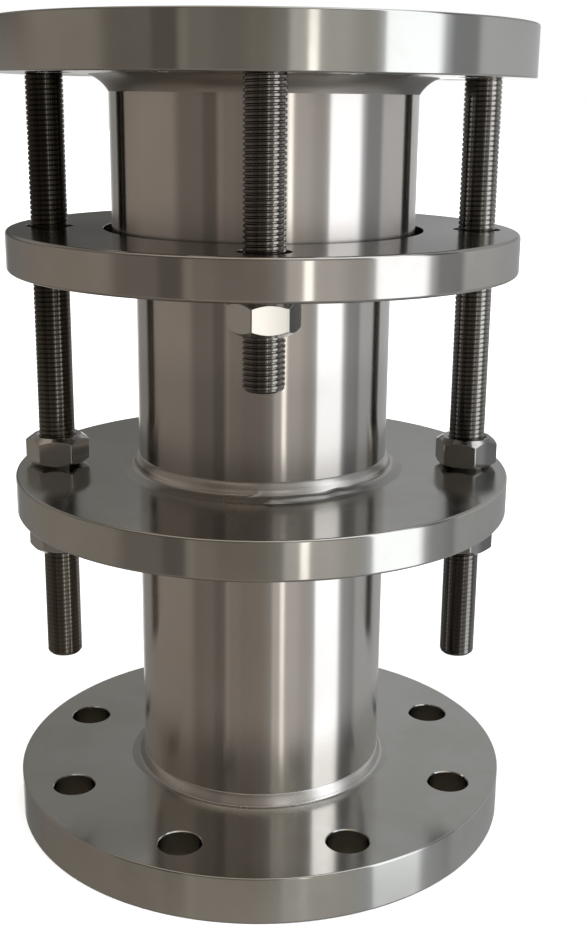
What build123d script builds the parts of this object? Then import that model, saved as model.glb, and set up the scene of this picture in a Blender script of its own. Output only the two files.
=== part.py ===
"""Limited-travel telescopic expansion joint with two flanges, nominal bore 100 mm, pressure class 16 bar.

Millimetres, +Z up along the pipe's axis. The origin is the centre of the lower flange's mating face, on which the part
stands. The front of the part faces -Y, and the two long rods stand at -X and +X.
"""

import math
import os

from build123d import *

# ---- driving dimensions ----------------------------------------------------------------------------------------------
# Flanges: plate flange, nominal bore 100, class 16
FLANGE_OD = 220.0
FLANGE_T = 20.5
BOLT_CIRCLE = 180.0
BOLT_COUNT = 8
BOLT_HOLE_D = 18.0
FIRST_BOLT_ANGLE = 22.5  # the holes straddle the plane of the rods
FLANGE_EDGE = 0.8

# Inner pipe, carried by the lower flange
PIPE_OD = 108.0
PIPE_WALL = 4.0
PIPE_FOOT_Z = 5.0  # the pipe stops short of the flange's face, for the inner weld
PIPE_TOP_Z = 302.0
PIPE_CLEARANCE = 0.5  # radial, in flange and limit ring, before welding

# Limit ring, welded on the inner pipe
RING_OD = 214.0
RING_T = 16.5
LIMIT_RING_Z = 142.5
RING_EDGE = 1.2

# Outer sleeve, welded in a socket in the upper flange
SLEEVE_OD = 127.0
SLEEVE_ID = 111.0
SLEEVE_FOOT_Z = 254.5
SOCKET_DEPTH = 8.0
SOCKET_CLEARANCE = 0.1
TOP_FLANGE_Z = 323.0
SLEEVE_BEVEL_D = 123.0  # bore at the foot, where the seal's wedge enters
SLEEVE_BEVEL_H = 9.0

# Gland ring round the sleeve's foot
GLAND_Z = 245.5
GLAND_BORE = 110.4
GLAND_COUNTERBORE = 134.0
GLAND_STEP_Z = 251.5
GLAND_EDGE = 1.5

# Seal: rubber wedge ring
SEAL_ID = 108.16
SEAL_OD = 132.0
SEAL_FLANGE_H = 2.6
SEAL_GAP = 0.4

# Threaded rods and nuts, M16
ROD_D = 16.0
ROD_CIRCLE = 180.0
ROD_TURN = -0.8  # the rods' four places are turned this much about Z, as on the real part, against the bolt holes
ROD_TAP_DEPTH = 14.0
ROD_TAP_D = 16.1
ROD_HOLE_D = 20.0
ROD_END_CHAMFER = 1.4
LIMIT_ROD_FOOT_Z = 69.5
GLAND_STUD_FOOT_Z = 211.5
NUT_AF = 24.0
NUT_H = 13.0
NUT_BORE = 16.1
NUT_CHAMFER_D = 21.8  # circle left on the nut's end faces
LOWER_NUT_Z = 119.5  # the lower nuts stand 10 mm under the limit ring

# Weld beads
SLEEVE_WELD_RUN = 8.2  # along the flange
SLEEVE_WELD_RISE = 6.6  # along the sleeve
RING_WELD_RUN = 8.0  # along the limit ring
RING_WELD_RISE = 7.0  # along the pipe
RING_WELD_LOWER_LEG = 5.0
FOOT_WELD_RUN = 6.2  # along the flange
FOOT_WELD_RISE = 5.4  # along the pipe

# ---- derived ---------------------------------------------------------------------------------------------------------
flange_r = FLANGE_OD / 2
pipe_r = PIPE_OD / 2
pipe_ri = pipe_r - PIPE_WALL
ring_r = RING_OD / 2
sleeve_r = SLEEVE_OD / 2
sleeve_ri = SLEEVE_ID / 2
sleeve_top_z = TOP_FLANGE_Z + SOCKET_DEPTH
gland_top_z = GLAND_Z + RING_T
ring_top_z = LIMIT_RING_Z + RING_T
rod_r = ROD_D / 2
rod_x = ROD_CIRCLE / 2
# centres of the four rods and studs
places = [
    (
        rod_x * math.cos(math.radians(ROD_TURN + a)),
        rod_x * math.sin(math.radians(ROD_TURN + a)),
    )
    for a in (0, 90, 180, 270)
]
right_place, back_place, left_place, front_place = places
tap_end_z = TOP_FLANGE_Z + ROD_TAP_DEPTH

os.makedirs("parts", exist_ok=True)

# ---- lower flange ----------------------------------------------------------------------------------------------------
with BuildPart() as bottom_flange:
    with BuildSketch():
        Circle(flange_r)
        Circle(pipe_r + PIPE_CLEARANCE, mode=Mode.SUBTRACT)
        with PolarLocations(
            BOLT_CIRCLE / 2, BOLT_COUNT, start_angle=FIRST_BOLT_ANGLE
        ):
            Circle(BOLT_HOLE_D / 2, mode=Mode.SUBTRACT)
    extrude(amount=FLANGE_T)
    rims = bottom_flange.edges().filter_by(
        lambda e: e.geom_type == GeomType.CIRCLE and abs(e.radius - flange_r) < 0.01
    )
    fillet(rims, FLANGE_EDGE)
    hole_rims = bottom_flange.edges().filter_by(
        lambda e: (
            e.geom_type == GeomType.CIRCLE
            and abs(e.radius - BOLT_HOLE_D / 2) < 0.01
            and e.center().Z > FLANGE_T - 0.1
        )
    )
    chamfer(hole_rims, 0.4)
bottom_flange.part.label = "bottom_flange"
export_step(bottom_flange.part, "parts/bottom_flange.step")

# ---- inner pipe: both ends deburred ----------------------------------------------------------------------------------
with BuildPart() as inner_pipe:
    with BuildSketch(Plane.XZ):
        with BuildLine():
            Polyline(
                (pipe_ri, PIPE_FOOT_Z),
                (pipe_r, PIPE_FOOT_Z),
                (pipe_r, PIPE_TOP_Z - 1.5),
                (pipe_r - 1.5, PIPE_TOP_Z),
                (pipe_ri + 0.5, PIPE_TOP_Z),
                (pipe_ri, PIPE_TOP_Z - 0.5),
                close=True,
            )
        make_face()
    revolve(axis=Axis.Z)
inner_pipe.part.label = "inner_pipe"
export_step(inner_pipe.part, "parts/inner_pipe.step")

# ---- weld on the back of the lower flange ----------------------------------------------------------------------------
with BuildPart() as bottom_flange_weld:
    with BuildSketch(Plane.XZ):
        with BuildLine():
            Polyline(
                (pipe_r, FLANGE_T + FOOT_WELD_RISE),
                (pipe_r, FLANGE_T),
                (pipe_r + FOOT_WELD_RUN, FLANGE_T),
            )
            ThreePointArc(
                (pipe_r + FOOT_WELD_RUN, FLANGE_T),
                (
                    pipe_r + FOOT_WELD_RUN * 0.4,
                    FLANGE_T + FOOT_WELD_RISE * 0.4,
                ),
                (pipe_r, FLANGE_T + FOOT_WELD_RISE),
            )
        make_face()
    revolve(axis=Axis.Z)
bottom_flange_weld.part.label = "bottom_flange_weld"
export_step(bottom_flange_weld.part, "parts/bottom_flange_weld.step")

# ---- weld between the pipe's foot and the lower flange's bore, just inside its face -----------------------------------
with BuildPart() as bottom_flange_inner_weld:
    with BuildSketch(Plane.XZ):
        with BuildLine():
            Polyline(
                (pipe_ri + 0.4, PIPE_FOOT_Z),
                (pipe_r + PIPE_CLEARANCE, PIPE_FOOT_Z),
                (pipe_r + PIPE_CLEARANCE, 1.0),
            )
            ThreePointArc(
                (pipe_r + PIPE_CLEARANCE, 1.0),
                (pipe_r - 1.7, 3.1),
                (pipe_ri + 0.4, PIPE_FOOT_Z),
            )
        make_face()
    revolve(axis=Axis.Z)
bottom_flange_inner_weld.part.label = "bottom_flange_inner_weld"
export_step(bottom_flange_inner_weld.part, "parts/bottom_flange_inner_weld.step")

# ---- limit ring: two clearance holes for the long rods ---------------------------------------------------------------
with BuildPart() as limit_ring:
    with BuildSketch(Plane.XY.offset(LIMIT_RING_Z)):
        Circle(ring_r)
        Circle(pipe_r + PIPE_CLEARANCE, mode=Mode.SUBTRACT)
        with PolarLocations(rod_x, 2, start_angle=ROD_TURN):
            Circle(ROD_HOLE_D / 2, mode=Mode.SUBTRACT)
    extrude(amount=RING_T)
    rims = limit_ring.edges().filter_by(
        lambda e: e.geom_type == GeomType.CIRCLE and abs(e.radius - ring_r) < 0.01
    )
    fillet(rims, RING_EDGE)
limit_ring.part.label = "limit_ring"
export_step(limit_ring.part, "parts/limit_ring.step")

# ---- welds of the limit ring, above and below ------------------------------------------------------------------------
with BuildPart() as limit_ring_weld_upper:
    with BuildSketch(Plane.XZ):
        with BuildLine():
            Polyline(
                (pipe_r, ring_top_z + RING_WELD_RISE),
                (pipe_r, ring_top_z),
                (pipe_r + RING_WELD_RUN, ring_top_z),
            )
            ThreePointArc(
                (pipe_r + RING_WELD_RUN, ring_top_z),
                (
                    pipe_r + RING_WELD_RUN * 0.42,
                    ring_top_z + RING_WELD_RISE * 0.42,
                ),
                (pipe_r, ring_top_z + RING_WELD_RISE),
            )
        make_face()
    revolve(axis=Axis.Z)
limit_ring_weld_upper.part.label = "limit_ring_weld_upper"
export_step(limit_ring_weld_upper.part, "parts/limit_ring_weld_upper.step")

with BuildPart() as limit_ring_weld_lower:
    with BuildSketch(Plane.XZ):
        with BuildLine():
            Polyline(
                (pipe_r + RING_WELD_LOWER_LEG, LIMIT_RING_Z),
                (pipe_r, LIMIT_RING_Z),
                (pipe_r, LIMIT_RING_Z - RING_WELD_LOWER_LEG),
            )
            ThreePointArc(
                (pipe_r, LIMIT_RING_Z - RING_WELD_LOWER_LEG),
                (
                    pipe_r + RING_WELD_LOWER_LEG * 0.58,
                    LIMIT_RING_Z - RING_WELD_LOWER_LEG * 0.58,
                ),
                (pipe_r + RING_WELD_LOWER_LEG, LIMIT_RING_Z),
            )
        make_face()
    revolve(axis=Axis.Z)
limit_ring_weld_lower.part.label = "limit_ring_weld_lower"
export_step(limit_ring_weld_lower.part, "parts/limit_ring_weld_lower.step")

# ---- upper flange: socket for the sleeve, four blind tapped holes for rods and studs in its back ---------------------
with BuildPart() as top_flange:
    with BuildSketch(Plane.XY.offset(TOP_FLANGE_Z)):
        Circle(flange_r)
        Circle(sleeve_ri, mode=Mode.SUBTRACT)
        with PolarLocations(
            BOLT_CIRCLE / 2, BOLT_COUNT, start_angle=FIRST_BOLT_ANGLE
        ):
            Circle(BOLT_HOLE_D / 2, mode=Mode.SUBTRACT)
    extrude(amount=FLANGE_T)
    with BuildSketch(Plane.XY.offset(TOP_FLANGE_Z)):
        Circle(sleeve_r + SOCKET_CLEARANCE)
    extrude(amount=SOCKET_DEPTH, mode=Mode.SUBTRACT)
    with BuildSketch(Plane.XY.offset(TOP_FLANGE_Z)):
        with PolarLocations(rod_x, 4, start_angle=ROD_TURN):
            Circle(ROD_TAP_D / 2)
    extrude(amount=ROD_TAP_DEPTH, mode=Mode.SUBTRACT)
    rims = top_flange.edges().filter_by(
        lambda e: e.geom_type == GeomType.CIRCLE and abs(e.radius - flange_r) < 0.01
    )
    fillet(rims, FLANGE_EDGE)
    hole_rims = top_flange.edges().filter_by(
        lambda e: (
            e.geom_type == GeomType.CIRCLE
            and abs(e.radius - BOLT_HOLE_D / 2) < 0.01
            and e.center().Z > TOP_FLANGE_Z + FLANGE_T - 0.1
        )
    )
    chamfer(hole_rims, 0.4)
top_flange.part.label = "top_flange"
export_step(top_flange.part, "parts/top_flange.step")

# ---- outer sleeve: bevelled inside at its foot, where the seal's wedge enters ----------------------------------------
with BuildPart() as outer_sleeve:
    with BuildSketch(Plane.XZ):
        with BuildLine():
            Polyline(
                (SLEEVE_BEVEL_D / 2, SLEEVE_FOOT_Z),
                (sleeve_r - 0.8, SLEEVE_FOOT_Z),
                (sleeve_r, SLEEVE_FOOT_Z + 0.8),
                (sleeve_r, sleeve_top_z),
                (sleeve_ri, sleeve_top_z),
                (sleeve_ri, SLEEVE_FOOT_Z + SLEEVE_BEVEL_H),
                close=True,
            )
        make_face()
    revolve(axis=Axis.Z)
outer_sleeve.part.label = "outer_sleeve"
export_step(outer_sleeve.part, "parts/outer_sleeve.step")

# ---- concave fillet weld between sleeve and upper flange -------------------------------------------------------------
with BuildPart() as sleeve_weld:
    with BuildSketch(Plane.XZ):
        with BuildLine():
            Polyline(
                (sleeve_r, TOP_FLANGE_Z - SLEEVE_WELD_RISE),
                (sleeve_r, TOP_FLANGE_Z),
                (sleeve_r + SLEEVE_WELD_RUN, TOP_FLANGE_Z),
            )
            ThreePointArc(
                (sleeve_r + SLEEVE_WELD_RUN, TOP_FLANGE_Z),
                (
                    sleeve_r + SLEEVE_WELD_RUN * 0.41,
                    TOP_FLANGE_Z - SLEEVE_WELD_RISE * 0.41,
                ),
                (sleeve_r, TOP_FLANGE_Z - SLEEVE_WELD_RISE),
            )
        make_face()
    revolve(axis=Axis.Z)
sleeve_weld.part.label = "sleeve_weld"
export_step(sleeve_weld.part, "parts/sleeve_weld.step")

# ---- gland ring: counterbore over the sleeve's foot, four clearance holes --------------------------------------------
with BuildPart() as gland_ring:
    with BuildSketch(Plane.XY.offset(GLAND_Z)):
        Circle(ring_r)
        Circle(GLAND_BORE / 2, mode=Mode.SUBTRACT)
        with PolarLocations(rod_x, 4, start_angle=ROD_TURN):
            Circle(ROD_HOLE_D / 2, mode=Mode.SUBTRACT)
    extrude(amount=RING_T)
    with BuildSketch(Plane.XY.offset(GLAND_STEP_Z)):
        Circle(GLAND_COUNTERBORE / 2)
    extrude(amount=gland_top_z - GLAND_STEP_Z, mode=Mode.SUBTRACT)
    rims = gland_ring.edges().filter_by(
        lambda e: e.geom_type == GeomType.CIRCLE and abs(e.radius - ring_r) < 0.01
    )
    fillet(rims, GLAND_EDGE)
gland_ring.part.label = "gland_ring"
export_step(gland_ring.part, "parts/gland_ring.step")

# ---- seal ring: flat foot on the gland's step, wedge between pipe and sleeve -----------------------------------------
bevel_run = (SLEEVE_BEVEL_D - SLEEVE_ID) / 2 / SLEEVE_BEVEL_H
seal_wedge_h = 6.5
with BuildPart() as seal_ring:
    with BuildSketch(Plane.XZ):
        with BuildLine():
            Polyline(
                (SEAL_ID / 2, GLAND_STEP_Z),
                (SEAL_OD / 2, GLAND_STEP_Z),
                (SEAL_OD / 2, GLAND_STEP_Z + SEAL_FLANGE_H),
                (SLEEVE_BEVEL_D / 2 - SEAL_GAP, GLAND_STEP_Z + SEAL_FLANGE_H),
                (
                    SLEEVE_BEVEL_D / 2 - SEAL_GAP - bevel_run * seal_wedge_h,
                    GLAND_STEP_Z + SEAL_FLANGE_H + seal_wedge_h,
                ),
                (SEAL_ID / 2, GLAND_STEP_Z + SEAL_FLANGE_H + seal_wedge_h),
                close=True,
            )
        make_face()
    revolve(axis=Axis.Z)
seal_ring.part.label = "seal_ring"
export_step(seal_ring.part, "parts/seal_ring.step")


# ---- rods and studs: plain cylinders of the thread's outer diameter, both ends chamfered -----------------------------
with BuildPart() as limit_rod_left:
    with BuildSketch(Plane.XY.offset(LIMIT_ROD_FOOT_Z)):
        with Locations(left_place):
            Circle(rod_r)
    extrude(amount=tap_end_z - LIMIT_ROD_FOOT_Z)
    chamfer(limit_rod_left.edges().filter_by(GeomType.CIRCLE), ROD_END_CHAMFER)
limit_rod_left.part.label = "limit_rod_left"
export_step(limit_rod_left.part, "parts/limit_rod_left.step")

with BuildPart() as limit_rod_right:
    with BuildSketch(Plane.XY.offset(LIMIT_ROD_FOOT_Z)):
        with Locations(right_place):
            Circle(rod_r)
    extrude(amount=tap_end_z - LIMIT_ROD_FOOT_Z)
    chamfer(limit_rod_right.edges().filter_by(GeomType.CIRCLE), ROD_END_CHAMFER)
limit_rod_right.part.label = "limit_rod_right"
export_step(limit_rod_right.part, "parts/limit_rod_right.step")

with BuildPart() as gland_stud_front:
    with BuildSketch(Plane.XY.offset(GLAND_STUD_FOOT_Z)):
        with Locations(front_place):
            Circle(rod_r)
    extrude(amount=tap_end_z - GLAND_STUD_FOOT_Z)
    chamfer(gland_stud_front.edges().filter_by(GeomType.CIRCLE), ROD_END_CHAMFER)
gland_stud_front.part.label = "gland_stud_front"
export_step(gland_stud_front.part, "parts/gland_stud_front.step")

with BuildPart() as gland_stud_back:
    with BuildSketch(Plane.XY.offset(GLAND_STUD_FOOT_Z)):
        with Locations(back_place):
            Circle(rod_r)
    extrude(amount=tap_end_z - GLAND_STUD_FOOT_Z)
    chamfer(gland_stud_back.edges().filter_by(GeomType.CIRCLE), ROD_END_CHAMFER)
gland_stud_back.part.label = "gland_stud_back"
export_step(gland_stud_back.part, "parts/gland_stud_back.step")


# ---- hexagon nuts: each is a turned blank cut by six flats, so that its corners are chamfered at both ends -----------
# name, centre, foot z, turn of the flats about the nut's axis in degrees
NUTS = [
    ("gland_nut_front", front_place, GLAND_Z - NUT_H, 9.0),
    ("gland_nut_back", back_place, GLAND_Z - NUT_H, -17.0),
    ("limit_nut_upper_left", left_place, ring_top_z, 3.0),
    ("limit_nut_upper_right", right_place, ring_top_z, 37.0),
    ("limit_nut_lower_left", left_place, LOWER_NUT_Z, 4.0),
    ("limit_nut_lower_right", right_place, LOWER_NUT_Z, 37.0),
]
nut_corner_r = NUT_AF / 2 / 0.8660254
chamfer_r = NUT_CHAMFER_D / 2
chamfer_h = (nut_corner_r + 0.2 - chamfer_r) * 0.5774  # 30 degrees
for nut_name, (nut_x, nut_y), nut_z, nut_turn in NUTS:
    with BuildPart() as nut:
        with BuildSketch(Plane((nut_x, nut_y, nut_z))):
            RegularPolygon(
                NUT_AF / 2, 6, major_radius=False, rotation=nut_turn
            )
            Circle(NUT_BORE / 2, mode=Mode.SUBTRACT)
        extrude(amount=NUT_H)
        # the turned blank: a cylinder past the corners with a cone at each end
        with BuildSketch(Plane((nut_x, nut_y, 0), x_dir=(1, 0, 0), z_dir=(0, -1, 0))):
            with BuildLine():
                Polyline(
                    (0, nut_z),
                    (chamfer_r, nut_z),
                    (nut_corner_r + 0.2, nut_z + chamfer_h),
                    (nut_corner_r + 0.2, nut_z + NUT_H - chamfer_h),
                    (chamfer_r, nut_z + NUT_H),
                    (0, nut_z + NUT_H),
                    close=True,
                )
            make_face()
        revolve(axis=Axis((nut_x, nut_y, 0), (0, 0, 1)), mode=Mode.INTERSECT)
    nut.part.label = nut_name
    export_step(nut.part, "parts/" + nut_name + ".step")
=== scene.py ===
"""Looks of a flanged telescopic expansion joint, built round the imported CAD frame.

Metres, +Z up, the front faces -Y. Every visible piece is a mesh made here at the CAD sizes: turned pieces are swept round
their axis with true edge radii, threads are real helices, nuts are chamfered hexagons and weld beads are uneven.
"""

import math
import bpy
import numpy as np
from mathutils import Matrix, Vector
from mathutils.geometry import delaunay_2d_cdt


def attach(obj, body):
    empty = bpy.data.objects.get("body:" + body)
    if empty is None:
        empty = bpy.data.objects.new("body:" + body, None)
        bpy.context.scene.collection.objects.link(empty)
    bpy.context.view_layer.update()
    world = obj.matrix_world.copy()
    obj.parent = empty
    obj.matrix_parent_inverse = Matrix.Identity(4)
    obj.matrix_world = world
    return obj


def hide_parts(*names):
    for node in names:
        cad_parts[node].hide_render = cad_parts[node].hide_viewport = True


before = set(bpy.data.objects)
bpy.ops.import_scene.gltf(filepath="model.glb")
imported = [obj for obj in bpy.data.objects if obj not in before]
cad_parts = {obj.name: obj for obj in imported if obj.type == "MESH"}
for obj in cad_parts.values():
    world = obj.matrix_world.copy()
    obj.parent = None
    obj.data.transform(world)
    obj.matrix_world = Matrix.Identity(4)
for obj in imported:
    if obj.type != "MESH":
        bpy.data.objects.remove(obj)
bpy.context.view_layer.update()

MM = 0.001
N = 384  # steps round a large turned piece
TAU = 2 * math.pi

# ---- sizes, as in the CAD model (mm) -----------------------------------------------------------------------------------
FLANGE_R, FLANGE_T, FLANGE_EDGE = 110.0, 20.5, 0.8
TOP_Z = 323.0
BOLT_R, BOLT_PCR, BOLT_FIRST = 9.0, 90.0, 22.5
PIPE_R, PIPE_RI, PIPE_Z0, PIPE_Z1 = 54.0, 50.0, 5.0, 302.0
RING_R, RING_T, RING_Z, LIMIT_EDGE, GLAND_EDGE = 107.0, 16.5, 142.5, 1.2, 1.5
SLEEVE_R, SLEEVE_RI, SLEEVE_Z0, SLEEVE_Z1 = 63.5, 55.5, 254.5, 331.0
GLAND_Z, GLAND_BORE, GLAND_CB, GLAND_STEP = 245.5, 55.2, 67.0, 251.5
ROD_PCR, ROD_TURN, ROD_R, ROD_HOLE_R, PITCH = 90.0, -0.8, 8.0, 10.0, 2.0
RIGHT, BACK, LEFT, FRONT = (
    (ROD_PCR * math.cos(math.radians(ROD_TURN + a)), ROD_PCR * math.sin(math.radians(ROD_TURN + a)))
    for a in (0, 90, 180, 270)
)  # centres of the rods and studs


# ---- mesh making -------------------------------------------------------------------------------------------------------
def run(p, q, n=1):
    """A straight stretch of a profile from p to q in (r, z), with the solid on its left: rows of r, z and the normal."""
    d = np.subtract(q, p)
    nr, nz = d[1], -d[0]
    k = math.hypot(nr, nz)
    t = np.linspace(0, 1, n + 1)[:, None]
    pts = np.array(p) + t * d
    return np.hstack([pts, np.tile([nr / k, nz / k], (n + 1, 1))])


def arc(c, rad, a0, a1, n=6):
    """An arc of a profile round c from angle a0 to a1 in degrees; anticlockwise is convex."""
    a = np.radians(np.linspace(a0, a1, n + 1))
    s = 1.0 if a1 > a0 else -1.0
    return np.stack(
        [c[0] + rad * np.cos(a), c[1] + rad * np.sin(a), s * np.cos(a), s * np.sin(a)], 1
    )


class Shape:
    """Collects faces with an exact normal at each corner, and welds them into one closed mesh."""

    def __init__(self):
        self.p, self.n, self.faces, self.count = [], [], [], 0

    def grid(self, pts, nrm, wrap=True):
        """Quads between rows and columns of points of shape (rows, columns, 3)."""
        a, b = pts.shape[:2]
        i, j = np.meshgrid(np.arange(a - 1), np.arange(b if wrap else b - 1), indexing="ij")
        k = (j + 1) % b
        q = np.stack([i * b + j, i * b + k, (i + 1) * b + k, (i + 1) * b + j], -1).reshape(-1, 4)
        self.faces.append(q + self.count)
        self.p.append(pts.reshape(-1, 3))
        self.n.append(np.broadcast_to(nrm, pts.shape).reshape(-1, 3))
        self.count += a * b
        return self

    def lathe(self, runs, cx=0.0, cy=0.0, n=N, phase=0.0):
        """Sweeps profile stretches round a vertical axis."""
        t = phase + np.arange(n) * TAU / n
        c, s = np.cos(t), np.sin(t)
        for r in runs:
            pts = np.stack(
                [cx + r[:, :1] * c, cy + r[:, :1] * s, np.repeat(r[:, 1:2], n, 1)], -1
            )
            nrm = np.stack([r[:, 2:3] * c, r[:, 2:3] * s, np.repeat(r[:, 3:4], n, 1)], -1)
            self.grid(pts, nrm)
        return self

    def flat(self, z, up, outer, inner, holes=(), n=N):
        """A flat ring at height z between two radii, with round holes (x, y, r, steps) cut through it."""
        loops = []
        t = np.arange(n) * TAU / n
        loops.append(np.stack([outer * np.cos(t), outer * np.sin(t)], 1))
        loops.append(np.stack([inner * np.cos(t), inner * np.sin(t)], 1))
        for x, y, r, m in holes:
            u = np.arange(m) * TAU / m
            loops.append(np.stack([x + r * np.cos(u), y + r * np.sin(u)], 1))
        # a light net of inner points keeps the triangles from growing long
        mid = (outer + inner) / 2
        for rr in (inner + (outer - inner) * f for f in (0.2, 0.8)):
            m = n // 4
            u = (np.arange(m) + 0.5) * TAU / m
            ring = np.stack([rr * np.cos(u), rr * np.sin(u)], 1)
            keep = np.ones(m, bool)
            for x, y, r, _ in holes:
                keep &= np.hypot(ring[:, 0] - x, ring[:, 1] - y) > r + 1.5
            loops.append(ring[keep])
        pts = np.concatenate(loops)
        edges, k = [], 0
        for i, loop in enumerate(loops):
            m = len(loop)
            if i < 2 + len(holes):
                edges += [(k + j, k + (j + 1) % m) for j in range(m)]
            k += m
        got = delaunay_2d_cdt([Vector(p) for p in pts], edges, [], 0, 1e-7)
        xy = np.array([tuple(v) for v in got[0]])
        tri = np.array([f for f in got[2] if len(f) == 3])
        cen = xy[tri].mean(1)
        r = np.hypot(cen[:, 0], cen[:, 1])
        ok = (r < outer) & (r > inner * math.cos(math.pi / n))
        for x, y, hr, _ in holes:
            ok &= np.hypot(cen[:, 0] - x, cen[:, 1] - y) > hr * 0.9995
        tri = tri[ok]
        self.faces.append(tri + self.count)
        self.p.append(np.column_stack([xy, np.full(len(xy), z)]))
        self.n.append(np.tile([0, 0, 1.0 if up else -1.0], (len(xy), 1)))
        self.count += len(xy)
        return self

    def hole(self, x, y, r, z0, z1, m=64, chamfer0=0.0, chamfer1=0.0):
        """The wall of a round hole from z0 up to z1, with a chamfer at either end."""
        runs, zb = [], z1
        if chamfer1:
            runs.append(run((r + chamfer1, z1), (r, z1 - chamfer1)))
            zb = z1 - chamfer1
        runs.append(run((r, zb), (r, z0 + chamfer0)))
        if chamfer0:
            runs.append(run((r, z0 + chamfer0), (r + chamfer0, z0)))
        return self.lathe(runs, x, y, m)

    def disc(self, z, up, r, cx=0.0, cy=0.0, m=64, phase=0.0):
        """A flat disc."""
        u = phase + np.arange(m) * TAU / m
        rim = np.stack([cx + r * np.cos(u), cy + r * np.sin(u), np.full(m, z)], 1)
        pts = np.vstack([rim, [[cx, cy, z]]])
        self.faces.append(
            np.stack([np.arange(m), (np.arange(m) + 1) % m, np.full(m, m)], 1) + self.count
        )
        self.p.append(pts)
        self.n.append(np.tile([0, 0, 1.0 if up else -1.0], (m + 1, 1)))
        self.count += m + 1
        return self

    def mesh(self, name):
        """Welds equal points, turns every face outward and stores the exact normals."""
        p, nrm = np.concatenate(self.p), np.concatenate(self.n)
        key = np.round(p / 1e-4).astype(np.int64)
        _, first, index = np.unique(key, axis=0, return_index=True, return_inverse=True)
        index = index.reshape(-1)
        verts = p[first] * MM
        loops, normals, sizes = [], [], []
        for block in self.faces:
            w = index[block]
            k = block.shape[1]
            if k == 4:
                same = [w[:, i] == w[:, (i + 1) % 4] for i in range(4)]
                good = ~np.any(same, 0)
                groups = [(block[good], w[good])]
                for i in range(4):  # a quad with one closed side becomes a triangle
                    only = same[i] & (np.sum(same, 0) == 1)
                    take = [j for j in range(4) if j != i]
                    groups.append((block[only][:, take], w[only][:, take]))
            else:
                good = (w[:, 0] != w[:, 1]) & (w[:, 1] != w[:, 2]) & (w[:, 0] != w[:, 2])
                groups = [(block[good], w[good])]
            for b, v in groups:
                if not len(b):
                    continue
                x = verts[v]
                if b.shape[1] == 4:
                    g = np.cross(x[:, 2] - x[:, 0], x[:, 3] - x[:, 1])
                else:
                    g = np.cross(x[:, 1] - x[:, 0], x[:, 2] - x[:, 0])
                back = (g * nrm[b].mean(1)).sum(1) < 0
                b[back] = b[back][:, ::-1]
                v[back] = v[back][:, ::-1]
                loops.append(v.reshape(-1))
                normals.append(nrm[b].reshape(-1, 3))
                sizes.append(np.full(len(b), b.shape[1]))
        loops, normals, sizes = map(np.concatenate, (loops, normals, sizes))
        me = bpy.data.meshes.new(name)
        me.vertices.add(len(verts))
        me.vertices.foreach_set("co", verts.astype(np.float32).reshape(-1))
        me.loops.add(len(loops))
        me.loops.foreach_set("vertex_index", loops.astype(np.int32))
        me.polygons.add(len(sizes))
        me.polygons.foreach_set(
            "loop_start", np.concatenate([[0], np.cumsum(sizes)[:-1]]).astype(np.int32)
        )
        me.update(calc_edges=True)
        me.polygons.foreach_set("use_smooth", np.ones(len(sizes), bool))
        normals /= np.linalg.norm(normals, axis=1)[:, None]
        me.normals_split_custom_set(normals.tolist())
        me.update()
        return me


made = {}


def piece(name, mesh, material, body, node):
    """Adds a mesh as a piece that stands for a CAD node and moves with its body."""
    o = bpy.data.objects.new(name, mesh)
    bpy.context.scene.collection.objects.link(o)
    mesh.materials.append(material)
    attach(o, body)
    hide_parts(node)
    made[name] = o
    return o


# ---- materials ---------------------------------------------------------------------------------------------------------
class Nodes:
    """Short calls for building a node tree."""

    def __init__(self, tree):
        self.t = tree

    def new(self, kind, **sockets):
        n = self.t.nodes.new(kind)
        for k, v in sockets.items():
            if hasattr(n, k):
                setattr(n, k, v)
        return n

    def put(self, socket, value):
        if isinstance(value, bpy.types.NodeSocket):
            self.t.links.new(value, socket)
        else:
            socket.default_value = value

    def math(self, op, a, b=0.0, c=None, clamp=False):
        n = self.t.nodes.new("ShaderNodeMath")
        n.operation, n.use_clamp = op, clamp
        self.put(n.inputs[0], a)
        self.put(n.inputs[1], b)
        if c is not None:
            self.put(n.inputs[2], c)
        return n.outputs[0]

    def span(self, v, a, b, lo=0.0, hi=1.0, smooth=True):
        """Maps v from a..b onto lo..hi."""
        n = self.t.nodes.new("ShaderNodeMapRange")
        n.interpolation_type = "SMOOTHSTEP" if smooth else "LINEAR"
        self.put(n.inputs[0], v)
        for i, x in enumerate((a, b, lo, hi), 1):
            self.put(n.inputs[i], x)
        return n.outputs[0]

    def mix(self, f, a, b):
        n = self.t.nodes.new("ShaderNodeMix")
        n.data_type = "RGBA"
        self.put(n.inputs[0], f)
        self.put(n.inputs[6], a)
        self.put(n.inputs[7], b)
        return n.outputs[2]

    def xyz(self, v):
        n = self.t.nodes.new("ShaderNodeSeparateXYZ")
        self.put(n.inputs[0], v)
        return n.outputs

    def vec(self, x, y, z):
        n = self.t.nodes.new("ShaderNodeCombineXYZ")
        for i, a in enumerate((x, y, z)):
            self.put(n.inputs[i], a)
        return n.outputs[0]

    def noise(self, v, scale, detail=2.0, rough=0.5, dims="3D"):
        n = self.t.nodes.new("ShaderNodeTexNoise")
        n.noise_dimensions = dims
        self.put(n.inputs["Vector"], v)
        self.put(n.inputs["Scale"], scale)
        self.put(n.inputs["Detail"], detail)
        self.put(n.inputs["Roughness"], rough)
        return n.outputs["Fac"]

    def bump(self, h, strength, distance, normal=None):
        n = self.t.nodes.new("ShaderNodeBump")
        self.put(n.inputs["Strength"], strength)
        self.put(n.inputs["Distance"], distance)
        self.put(n.inputs["Height"], h)
        if normal is not None:
            self.put(n.inputs["Normal"], normal)
        return n.outputs["Normal"]


def rgb(r, g=None, b=None):
    return (r, r if g is None else g, r if b is None else b, 1.0)


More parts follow.
